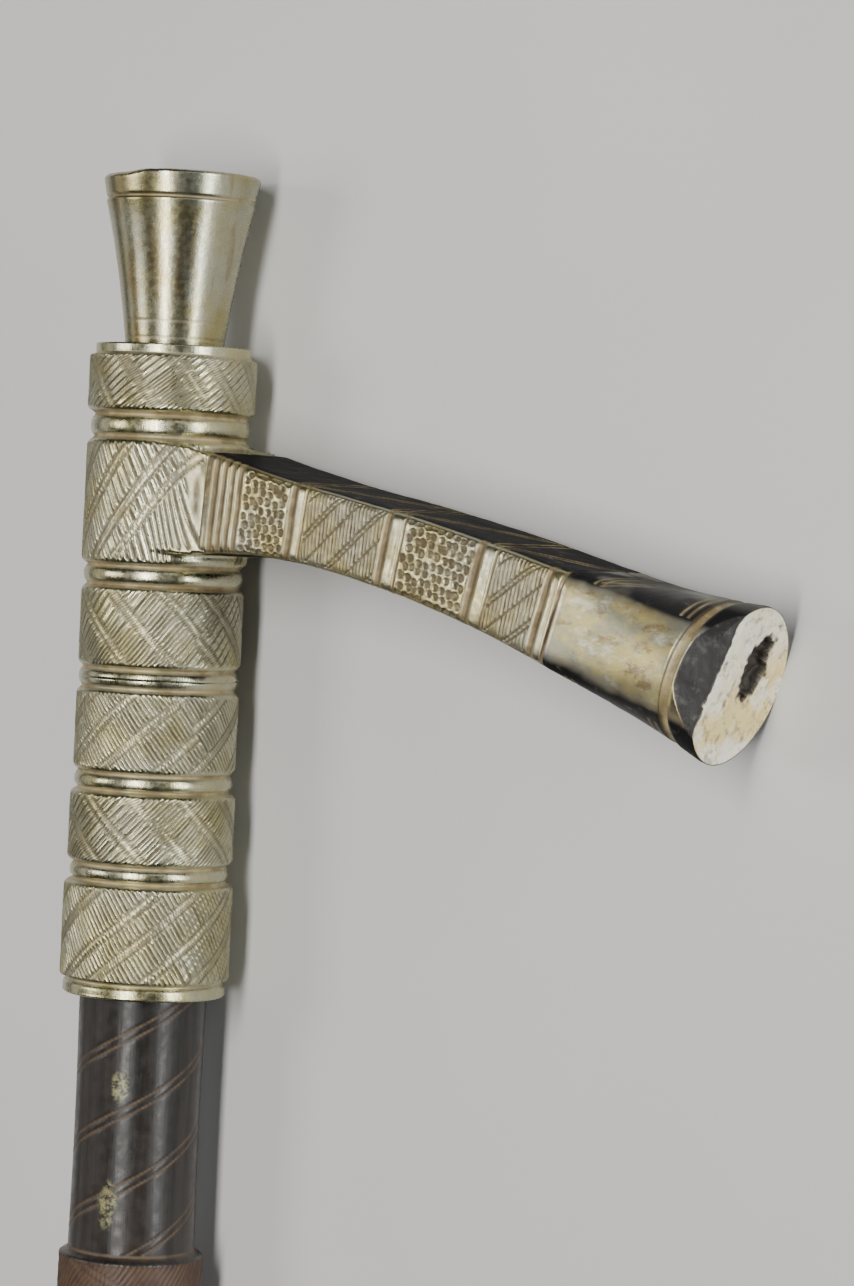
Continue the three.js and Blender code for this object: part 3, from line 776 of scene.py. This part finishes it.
def drum_side():
    """Points from the arm to the rim of the end face, and the values that colour them."""
    along = np.linspace(ARM_SEAM, DRUM_END - DRUM_RIM_LENGTH + 1.2, DRUM_SIDE_ROWS)
    square, names = section_columns(*DRUM_COLUMNS)
    points = arm_points(along, square)
    cut, residue, top_lines = arm_cuts(along, points, square, names)
    fade = np.where(names % 2, 1, 1 - smooth(ARM_SEAM + 1.5, ARM_SEAM + 3, along)[:, None])
    rim_at = DRUM_END - DRUM_RIM_LENGTH
    line = ridge(along - (rim_at - 1.15), 0.3)[:, None]
    cove = smooth(0, 0.5, ridge(along - rim_at, 1.1))[:, None]
    cut = np.maximum(cut * fade, np.maximum(0.25 * line, 0.5 * cove))
    past_seam = (along - ARM_SEAM)[:, None]
    worn = 0.1 * noise(points, 7.0, 61) + 0.03 * noise(points, 1.5, 62)
    worn = worn * smooth(0, 2, past_seam)
    points = points - outward_normals(points) * (cut - worn)[..., None]
    up = square[:, 1]
    # Painted dark reflection on the drum's top and bottom, reaching further round underneath
    dark = smooth(0.55, 1.0, np.abs(up) + 0.25 * clouds(points, 9.0, 63) + 0.2 * (up < 0))
    return points, {
        "residue": np.maximum(residue * fade, line),
        "cove": np.maximum(cove, top_lines * fade),
        "painted_reflection": dark,
        "cast": 0 * dark,
        "dull": 0 * dark,
        "chalk": (1 - dark) * smooth(0.5, 2, past_seam) + 0.2 * dark * smooth(0, 24, past_seam),
    }


def face_relief(at):
    """How deep the rough end face lies at places on it, its pits, how dark its pocket is painted as shade,
    and how yellowed it is.
    """
    up, out = at[..., 1], at[..., 2]
    rough = 0.3 * clouds(at, 4.0, 71) + 0.16 * noise(at, 0.9, 72)
    pits = smooth(0.55, 0.8, noise(at, 1.7, 73)) * 0.5
    for up_at, out_at, size in FACE_PITS:
        near = np.hypot((up - up_at) / 1.4, out - out_at) / size
        pits = np.maximum(pits, np.clip(1 - near**2, 0, 1))
    ragged = 1 + 0.3 * clouds(at, 2.6, 74) + 0.12 * noise(at, 0.8, 77)
    pocket_up = (up - POCKET_OFFSET[0]) / POCKET_RADII[1]
    pocket_out = (out - POCKET_OFFSET[1]) / POCKET_RADII[2]
    away = np.hypot(pocket_up + 0.25 * pocket_out, pocket_out) * ragged
    hollow = np.sqrt(np.clip(1 - away**2, 0, 1))
    deep = POCKET_RADII[0] * hollow**0.7 * (0.75 + 0.25 * ragged)
    shallow = 0.3 * (1 - smooth(1.1, 1.9, away))
    inward = smooth(0, 1.2, face_radius - np.hypot(up, out))
    depth = inward * (0.25 + rough * 0.8 + 0.7 * pits + deep + shallow)
    # Painted shade inside the casting pocket
    painted_dark = 1 - smooth(1.0, 1.22, away)
    yellowed = 1 - smooth(-5, 5, up + 0.5 * out + 5 * clouds(at, 6.0, 78))
    return depth, pits, painted_dark, yellowed


def pressed_flat(at):
    """The end face with what stands past the plane of its worn flat pressed onto it, and how worn it is."""
    lean = np.array([math.sin(WORN_FLAT_LEAN), math.cos(WORN_FLAT_LEAN)])
    normal = np.array([math.sin(WORN_FLAT_ANGLE), *(math.cos(WORN_FLAT_ANGLE) * lean)])
    past = at @ normal - WORN_FLAT_AT_FACE * math.cos(WORN_FLAT_ANGLE)
    at = at - np.maximum(past, 0)[..., None] * normal
    uneven = 0.1 * noise(at, 3.5, 75) + 0.05 * noise(at, 1.0, 76)
    at = at - (0.1 + uneven)[..., None] * smooth(0, 0.6, past)[..., None] * normal
    return at, smooth(-0.05, 0.25, past + 0.5 * uneven)


def drum_end(rim, rim_dark):
    """Points from the last row of the side over the rim and in to the end face's middle, and values."""
    heading = float(arm_heading(DRUM_END))
    outward = np.array([math.cos(heading), -math.sin(heading), 0])
    upward = np.array([math.sin(heading), math.cos(heading), 0])
    centre = np.array([*(float(a) for a in arm_centre(DRUM_END)), 0])
    local = rim - centre
    height, width = local @ upward, local[:, 2]
    edge = np.hypot(height, width)
    unit = np.stack([height / edge, width / edge], -1)
    tilted = math.tan(FACE_TILT) * unit[:, 1] * face_radius
    start = local @ outward
    rows = []
    for t in np.linspace(0, 1, DRUM_RIM_ROWS)[1:]:
        reach = part_way(edge, face_radius, min(1, t * 1.3))
        rows.append(np.column_stack([part_way(start, tilted, t), unit * reach[:, None]]))
    for t in np.linspace(1, 0.02, DRUM_FACE_ROWS)[1:]:
        rows.append(np.column_stack([tilted * t, unit * face_radius * t]))
    at = np.array(rows)
    face = np.ones(at.shape[:2])
    face[: DRUM_RIM_ROWS - 1] = 0
    depth, pits, painted_dark, yellowed = face_relief(at)
    at[..., 0] -= face * depth
    at, worn_off = pressed_flat(at)
    points = centre + at[..., :1] * outward + at[..., 1:2] * upward + at[..., 2:] * np.array([0, 0, 1])
    return points, {
        # Painted shade in the pocket, and residue darkened as painted shade in the pits
        "residue": np.maximum(0.3 * painted_dark, 0.9 * pits) * face,
        "cove": 0 * face,
        # The side's painted dark reflection, carried over the rim
        "painted_reflection": rim_dark * (1 - face),
        "cast": face * (1 - worn_off),
        "dull": np.maximum(worn_off, painted_dark * face),
        "chalk": face * yellowed,
    }


def drum():
    """The round end of the arm, with its worn flat and the rough end face with a casting pocket."""
    side, side_values = drum_side()
    end, end_values = drum_end(side[-1], side_values["painted_reflection"][-1])
    values = {key: np.concatenate([side_values[key], end_values[key]]) for key in side_values}
    return skin("drum", np.concatenate([side, end]), values)


# Shaft


def shaft_radius(v):
    """Radius of the turned shaft, and how much of it is hatched grip, at heights v."""
    radius = np.full_like(v, SHAFT_RADIUS)
    grip = np.zeros_like(v)
    rim_bottom = -SHAFT_LENGTH + BUTT_RIM_HEIGHT
    flare_top = rim_bottom + BUTT_FLARE_LENGTH
    tops = [0] + [top - length for top, length in GRIPS]
    bottoms = [top for top, _ in GRIPS] + [flare_top]
    for top, bottom in zip(tops, bottoms):
        inside = (v <= top) & (v >= bottom)
        share = np.clip((top - v) / (top - bottom), 0, 1)
        radius = np.where(inside, SHAFT_RADIUS - SHAFT_WAIST * np.sin(math.pi * share), radius)
    for top, length in GRIPS:
        edge = np.minimum(top - v, v - (top - length))
        on = smooth(0, GRIP_EDGE, edge)
        radius = np.where(edge > 0, SHAFT_RADIUS + GRIP_PROUD * on**0.7, radius)
        grip = np.maximum(grip, smooth(0.9, 1.3, edge))
    share = np.clip((flare_top - v) / BUTT_FLARE_LENGTH, 0, 1)
    rim = widest_radius - FINIAL_BEVEL
    radius = np.where(v < flare_top, part_way(SHAFT_RADIUS, rim, flare(share)), radius)
    under_groove = rim_bottom - FINIAL_GROOVE_HEIGHT - v
    rim_radius = rim + (0.5 + 0.2 * np.clip(under_groove / 2.0, 0, 1)) * FINIAL_BEVEL
    radius = np.where(under_groove > 0, rim_radius, radius)
    groove = ridge(v - (rim_bottom - FINIAL_GROOVE_HEIGHT / 2), 0.6)
    return radius - FINIAL_GROOVE_DEPTH * groove, grip, groove


def helix_lines(turn, v, starts, rise, gap, width):
    """Double lines that wind up the shaft to the right, seen from outside."""
    pitch = rise / starts
    position = v + turn / TURN * rise
    distance = (position + pitch / 2) % pitch - pitch / 2
    distance = distance * math.cos(math.atan2(rise, TURN * SHAFT_RADIUS))
    return np.maximum(ridge(distance - gap / 2, width), ridge(distance + gap / 2, width))


def shaft_grid(low, high, row_step, columns):
    """Points of the shaft between two heights, with their residue and grip shares."""
    rows = int(math.ceil((high - low) / row_step))
    v = np.linspace(low, high, rows + 1)[:, None] + np.zeros((1, columns))
    turn = np.arange(columns)[None, :] * TURN / columns + 0 * v
    radius, grip, groove = shaft_radius(v)
    plain = around(turn, radius, v)
    lines = helix_lines(turn, v + 0.5 * noise(plain, 16.0, 81), *SHAFT_LINES)
    lines = lines * (1 - smooth(0, 0.02, grip)) * (radius < SHAFT_RADIUS + 0.05)
    phase = turn * HATCH_PER_TURN * 0.75 / TURN + v * 0.62 + 0.15 * noise(plain, 2.0, 82)
    valley = np.clip(1.5 - 3 * np.abs(phase % 1 - 0.5), 0, 1)
    deep = helix_lines(-turn, v, *GRIP_LINES)
    on_grip = grip * np.maximum(valley * 0.75 * (1 - deep), deep)
    edges = [at for top, length in GRIPS for at in (top + 0.25, top - length - 0.25)]
    edge_line = sum(ridge(v - at, 0.45) for at in edges)
    cut = np.maximum(lines * SHAFT_LINE_DEPTH, on_grip * GRIP_HATCH_DEPTH) + 0.02 * edge_line
    radius = radius - cut + 0.035 * noise(plain, 9.0, 83) + 0.012 * noise(plain, 1.5, 84)
    radius = np.where(v > -0.4, np.minimum(radius, SHAFT_RADIUS - 0.02), radius)
    residue = np.maximum(np.maximum(lines, 0.75 * on_grip), np.maximum(edge_line, groove))
    return around(turn, radius, v), np.clip(residue, 0, 1), grip


def shaft_upper():
    """Tenon, the plain stretch with winding lines and the first hatched grip."""
    points, residue, grip = shaft_grid(SHAFT_SEAM, 4.0, *SHAFT_UPPER_GRID)
    turn = np.degrees(np.arctan2(points[..., 2], points[..., 0]))
    stain = 0
    for at_turn, at_v, wide, tall in STAINS:
        away = np.hypot((turn - at_turn) / wide, (points[..., 1] - at_v) / tall)
        stain = np.maximum(stain, 1 - smooth(0.4, 1.0, away + 0.45 * clouds(points, 4.0, 85)))
    return skin("shaft_upper", points, {"residue": residue, "grip": grip, "stain": stain})


def shaft_lower():
    """The rest of the shaft, down to the flared butt."""
    low = -SHAFT_LENGTH + FINIAL_BEVEL
    points, residue, grip = shaft_grid(low, SHAFT_SEAM, *SHAFT_LOWER_GRID)
    turn = np.arctan2(points[0, :, 2], points[0, :, 0])
    first = np.hypot(points[0, :, 0], points[0, :, 2])
    rows = [around(turn, (first - FINIAL_BEVEL) * t, -SHAFT_LENGTH) for t in np.linspace(0.04, 0.96, 16)]
    for angle in np.linspace(0, 1, 5)[:-1] * math.pi / 2:
        radius = first - FINIAL_BEVEL * (1 - math.sin(angle))
        rows.append(around(turn, radius, -SHAFT_LENGTH + FINIAL_BEVEL * (1 - math.cos(angle))))
    clean = np.zeros((len(rows), len(turn)))
    values = {"residue": np.concatenate([clean, residue]), "grip": np.concatenate([clean, grip])}
    return skin("shaft_lower", np.concatenate([rows, points]), values)


# Materials


class Nodes:
    """Short calls for building a material's node tree."""

    def __init__(self, name):
        self.material = bpy.data.materials.new(name)
        self.material.use_nodes = True
        self.tree = self.material.node_tree
        self.shader = self.tree.nodes["Principled BSDF"]
        self.coords = self.tree.nodes.new("ShaderNodeTexCoord").outputs["Object"]

    def link(self, value, socket):
        """Links a socket from another one or sets it; a colour is given by its three shares."""
        if isinstance(value, bpy.types.NodeSocket):
            self.tree.links.new(value, socket)
        elif socket.type == "RGBA":
            socket.default_value = (*value, 1.0)
        else:
            socket.default_value = value

    def fill(self, node, inputs):
        """Links or sets a node's inputs, which are given by name or number."""
        for key, value in inputs.items():
            self.link(value, node.inputs[key])

    def attribute(self, name):
        node = self.tree.nodes.new("ShaderNodeAttribute")
        node.attribute_name = name
        return node.outputs["Fac"]

    def noise(self, scale, detail=6.0, roughness=0.6, stretch=(1, 1, 1)):
        mapping = self.tree.nodes.new("ShaderNodeMapping")
        self.fill(mapping, {"Vector": self.coords, "Scale": stretch})
        node = self.tree.nodes.new("ShaderNodeTexNoise")
        self.fill(node, {"Vector": mapping.outputs["Vector"], "Scale": scale})
        self.fill(node, {"Detail": detail, "Roughness": roughness})
        return node.outputs["Fac"]

    def between(self, value, low, high, to_low=0.0, to_high=1.0):
        """to_low where the value is low, to_high where it is high and an even change between."""
        node = self.tree.nodes.new("ShaderNodeMapRange")
        node.interpolation_type = "SMOOTHSTEP"
        self.fill(node, {"Value": value, "From Min": low, "From Max": high})
        self.fill(node, {"To Min": to_low, "To Max": to_high})
        return node.outputs["Result"]

    def math(self, operation, a, b):
        node = self.tree.nodes.new("ShaderNodeMath")
        node.operation = operation
        self.fill(node, {0: a, 1: b})
        return node.outputs[0]

    def times(self, a, b):
        return self.math("MULTIPLY", a, b)

    def mix(self, factor, a, b):
        """Colours a and b mixed by factor."""
        node = self.tree.nodes.new("ShaderNodeMix")
        node.data_type = "RGBA"
        self.fill(node, {0: factor, 6: a, 7: b})
        return node.outputs[2]

    def blend(self, factor, a, b):
        """Numbers a and b mixed by factor."""
        node = self.tree.nodes.new("ShaderNodeMix")
        node.data_type = "FLOAT"
        self.fill(node, {0: factor, 2: a, 3: b})
        return node.outputs[0]

    def bump(self, height, distance, strength):
        node = self.tree.nodes.new("ShaderNodeBump")
        self.fill(node, {"Height": height, "Distance": distance, "Strength": strength})
        self.link(node.outputs["Normal"], self.shader.inputs["Normal"])


# Each layer takes a metal's colour, roughness and metallic share and returns what it makes of them


def chalked(m, body, rough, metallic):
    """A mottled cream bloom."""
    chalk = m.attribute("chalk")
    kind = (8, 0.75, (0.6, 1.0, 1.0))
    cream = m.mix(m.between(m.noise(120, *kind), 0.4, 0.6), (0.25, 0.25, 0.18), (0.48, 0.4, 0.14))
    cream = m.mix(m.between(m.noise(210, *kind), 0.52, 0.66, 0.0, 0.75), cream, (0.68, 0.66, 0.52))
    cream = m.mix(m.between(m.noise(340, *kind), 0.52, 0.64, 0.0, 0.8), cream, (0.17, 0.1, 0.035))
    body = m.mix(m.times(chalk, 0.9), body, cream)
    return body, m.blend(chalk, rough, 0.36), m.blend(chalk, metallic, 0.45)


def cast_face(m, body, rough, metallic):
    """The rough pale end face, yellower to one side, with specks, and painted shade in its crevices."""
    cast = m.attribute("cast")
    yellow = m.between(m.attribute("chalk"), 0.0, 1.0, 0.35, 1.0)
    yellow = m.times(yellow, m.between(m.noise(150, 6, 0.65), 0.38, 0.56))
    face = m.mix(yellow, (0.95, 0.92, 0.78), (0.88, 0.7, 0.32))
    face = m.mix(m.between(m.noise(420, 8, 0.75), 0.53, 0.66, 0.0, 0.6), face, (0.26, 0.2, 0.12))
    # Painted shade in the crevices, where the crust's bump noise is low
    face = m.mix(m.between(m.noise(520, 8, 0.7), 0.36, 0.47, 0.65, 0.0), face, (0.34, 0.27, 0.16))
    return m.mix(cast, body, face), m.blend(cast, rough, 0.65), m.blend(cast, metallic, 0.05)


def with_painted_reflection(m, body, rough, metallic):
    """Painted dark reflection of a dark surround: near-black sides, glossier where they are chalky."""
    painted_reflection = m.attribute("painted_reflection")
    # Near-black tones painted where the sides would reflect a dark surround
    painted_dark = m.between(m.noise(300, 6, 0.7), 0.55, 0.7)
    painted_dark = m.mix(painted_dark, (0.012, 0.0117, 0.0122), (0.06, 0.052, 0.042))
    gloss = m.between(m.attribute("chalk"), 0.0, 0.2, 0.006, 0.13)
    m.link(m.blend(painted_reflection, 0.5, gloss), m.shader.inputs["Specular IOR Level"])
    metallic = m.times(metallic, m.between(painted_reflection, 0.0, 1.0, 1.0, 0.0))
    return m.mix(painted_reflection, body, painted_dark), m.blend(painted_reflection, rough, 0.42), metallic


def dulled(m, body, rough, metallic):
    """The matt grey-black of the worn flat, and of the pocket, where it is painted shade."""
    dull = m.attribute("dull")
    matte = m.between(m.noise(420, 8, 0.7), 0.48, 0.66)
    matte = m.mix(matte, (0.03, 0.028, 0.026), (0.07, 0.066, 0.06))
    return m.mix(dull, body, matte), m.blend(dull, rough, 0.5), m.blend(dull, metallic, 0.4)


def soiled(m, body, rough, metallic):
    """Orange-brown coves, and dark brown residue in the cuts that is darkened further as painted shade."""
    cove = m.times(m.attribute("cove"), m.between(m.noise(170, 5), 0.3, 0.55, 0.45, 1.0))
    orange = m.mix(m.between(m.noise(200, 4), 0.4, 0.6), (0.22, 0.165, 0.08), (0.4, 0.325, 0.175))
    residue = m.times(m.attribute("residue"), m.between(m.noise(600, 5), 0.3, 0.6, 0.6, 1.0))
    # Dark brown in the cuts: residue, darkened as painted shade
    body = m.mix(residue, m.mix(cove, body, orange), (0.085, 0.06, 0.03))
    soil = m.math("MAXIMUM", cove, residue)
    return body, m.blend(soil, rough, 0.55), m.times(metallic, m.between(soil, 0.0, 1.0, 1.0, 0.45))


def metal(name, silver, gold, clouded=0.55, satin=(0.26, 0.4), streaked=0.0, grain=0.5, chalky=False):
    """Worn white metal; satin is the range of its roughness and grain the strength of its fine
    unevenness. Only a chalky one has a bloom, a rough end face and dull places."""
    m = Nodes(name)
    cloud_tone = tuple(part * share for part, share in zip(silver, (0.5, 0.5, 0.46)))
    body = m.mix(m.between(m.noise(95, 5), 0.38, 0.66), silver, gold)
    body = m.mix(m.between(m.noise(240, 6, 0.7), 0.45, 0.75, 0.0, clouded), body, cloud_tone)
    streaks = m.between(m.noise(330, 5, 0.6, (1.0, 0.14, 1.0)), 0.52, 0.68, 0.0, streaked)
    body = m.mix(streaks, body, (0.25, 0.175, 0.07))
    look = (body, m.between(m.noise(900, 4), 0.3, 0.7, *satin), 1.0)
    for layer in (chalked, cast_face, with_painted_reflection, dulled, soiled) if chalky else (with_painted_reflection, soiled):
        look = layer(m, *look)
    m.fill(m.shader, dict(zip(("Base Color", "Roughness", "Metallic"), look)))
    relief = m.math("ADD", m.noise(1500, 3, 0.5, (1.0, 0.12, 1.0)), m.noise(2600, 4))
    if chalky:
        crust = m.times(m.attribute("cast"), m.noise(520, 8, 0.7))
        relief = m.math("ADD", relief, m.times(crust, 12.0))
    m.bump(relief, 0.00005, grain)
    return m.material


def hardwood(name):
    """Polished dark hardwood with residue in its cut lines and a redder, duller hatched grip."""
    m = Nodes(name)
    grip = m.attribute("grip")
    grain = m.between(m.noise(260, 7, 0.65, (1.0, 0.06, 1.0)), 0.35, 0.68)
    body = m.mix(grain, (0.009, 0.008, 0.0075), (0.03, 0.024, 0.02))
    fleck = m.between(m.noise(900, 6, 0.7), 0.42, 0.6)
    body = m.mix(m.times(m.attribute("stain"), fleck), body, (0.26, 0.25, 0.12))
    body = m.mix(m.times(grip, 0.7), body, (0.06, 0.028, 0.019))
    residue = m.times(m.attribute("residue"), m.between(m.noise(380, 5), 0.3, 0.6, 0.3, 1.0))
    body = m.mix(residue, body, (0.13, 0.082, 0.042))
    rough = m.blend(grip, m.between(m.noise(420, 5), 0.3, 0.7, 0.28, 0.42), 0.42)
    m.fill(m.shader, {"Base Color": body, "Roughness": m.blend(residue, rough, 0.7)})
    m.shader.inputs["Specular IOR Level"].default_value = 0.4
    m.bump(m.noise(700, 5, 0.6, (1.0, 0.05, 1.0)), 0.00008, 0.5)
    return m.material


def pale_floor():
    m = Nodes("floor")
    tone = m.between(m.noise(6, 3), 0.3, 0.7)
    m.link(m.mix(tone, (0.60, 0.60, 0.59), (0.63, 0.63, 0.62)), m.shader.inputs["Base Color"])
    m.shader.inputs["Roughness"].default_value = 0.75
    return m.material


# Stage, lights and camera


def stage_floor():
    half = 3.0  # metres
    mesh = bpy.data.meshes.new("floor")
    corners = [(-half, -half, 0), (half, -half, 0), (half, half, 0), (-half, half, 0)]
    mesh.from_pydata(corners, [], [(0, 1, 2, 3)])
    mesh.materials.append(pale_floor())
    floor = bpy.data.objects.new("floor", mesh)
    bpy.context.scene.collection.objects.link(floor)


def softbox(name, at, size, power, colour):
    """A soft rectangular light that faces the mace; its size is given across the mace and along it."""
    light = bpy.data.lights.new(name, "AREA")
    light.shape = "RECTANGLE"
    light.size, light.size_y = size
    light.energy = power
    light.color = colour
    lamp = bpy.data.objects.new(name, light)
    bpy.context.scene.collection.objects.link(lamp)
    back = (Vector(at) - Vector(LIT_AT)).normalized()
    across = Vector((0, 1, 0)).cross(back).normalized()
    along = back.cross(across)
    lamp.matrix_world = Matrix([(across[i], along[i], back[i], at[i]) for i in range(3)] + [(0, 0, 0, 1)])


def lights():
    softbox("key", (0.24, 0.2, 0.97), (0.14, 0.9), 11, (1.0, 0.98, 0.95))
    softbox("fill", (-0.6, 0.2, 0.78), (0.3, 0.36), 2.6, (1.0, 0.98, 0.95))
    softbox("side", (1.0, 0.25, 0.13), (0.16, 0.9), 8, (0.95, 0.98, 1.0))
    softbox("rear", (-0.8, 0.1, 0.3), (0.2, 0.8), 0.5, (1.0, 0.97, 0.92))
    softbox("end", (0.8, 0.75, 0.6), (0.3, 0.3), 0.4, (1.0, 1.0, 1.0))
    world = bpy.data.worlds.new("studio")
    world.use_nodes = True
    background = world.node_tree.nodes["Background"]
    background.inputs["Color"].default_value = (0.9, 0.95, 1.0, 1.0)
    background.inputs["Strength"].default_value = 0.05
    bpy.context.scene.world = world


def level_axes():
    """The level view's right, up and towards-the-viewer directions in the mace's own frame."""
    c, s = math.cos(VIEW_TURN), math.sin(VIEW_TURN)
    return np.array([(c, 0, -s), (0, 1, 0), (s, 0, c)])


def photo_camera():
    axes = level_axes()
    spin = np.array(PLACE.to_3x3().normalized())
    at = np.array(CAMERA_AT) @ axes
    right = spin @ (np.array(CAMERA_RIGHT) @ axes)
    up = -spin @ (np.array(CAMERA_DOWN) @ axes)
    right /= np.linalg.norm(right)
    up -= right * (up @ right)
    up /= np.linalg.norm(up)
    back = np.cross(right, up)
    camera = bpy.data.cameras.new("camera")
    camera.lens = CAMERA_LENS
    camera.sensor_width = 36
    camera.clip_start = 0.05
    camera.clip_end = 20
    lens = bpy.data.objects.new("camera", camera)
    bpy.context.scene.collection.objects.link(lens)
    matrix = Matrix([(right[i], up[i], back[i], 0) for i in range(3)] + [(0, 0, 0, 1)])
    matrix.translation = PLACE @ Vector(at)
    lens.matrix_world = matrix
    bpy.context.scene.camera = lens


photo_camera()
stage_floor()
lights()

engraved = metal("engraved_metal", (0.46, 0.45, 0.32), (0.45, 0.415, 0.22), clouded=0.4, satin=(0.21, 0.33))
finial_tones = ((0.36, 0.355, 0.26), (0.34, 0.3, 0.145))
polished = metal("finial_metal", *finial_tones, clouded=0.3, satin=(0.24, 0.3), streaked=0.6, grain=0.25)
strap = metal("strap_metal", (0.43, 0.415, 0.3), (0.41, 0.355, 0.165))
cast = metal("drum_metal", (0.45, 0.44, 0.4), (0.52, 0.44, 0.26), grain=0.6, chalky=True)
wood = hardwood("dark_hardwood")

for build, material, node, slot in (
    (sleeve_lower, engraved, "mace_head", "cast_head"),
    (sleeve_upper, engraved, "mace_head", "cast_head"),
    (finial, polished, "mace_head", "cast_head"),
    (arm, strap, "mace_head", "cast_head"),
    (drum, cast, "mace_head", "cast_head"),
    (shaft_upper, wood, "shaft", "dark_hardwood"),
    (shaft_lower, wood, "shaft", "dark_hardwood"),
):
    piece = build()
    piece.data.materials.append(material)
    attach(piece, "root")
    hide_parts(node)
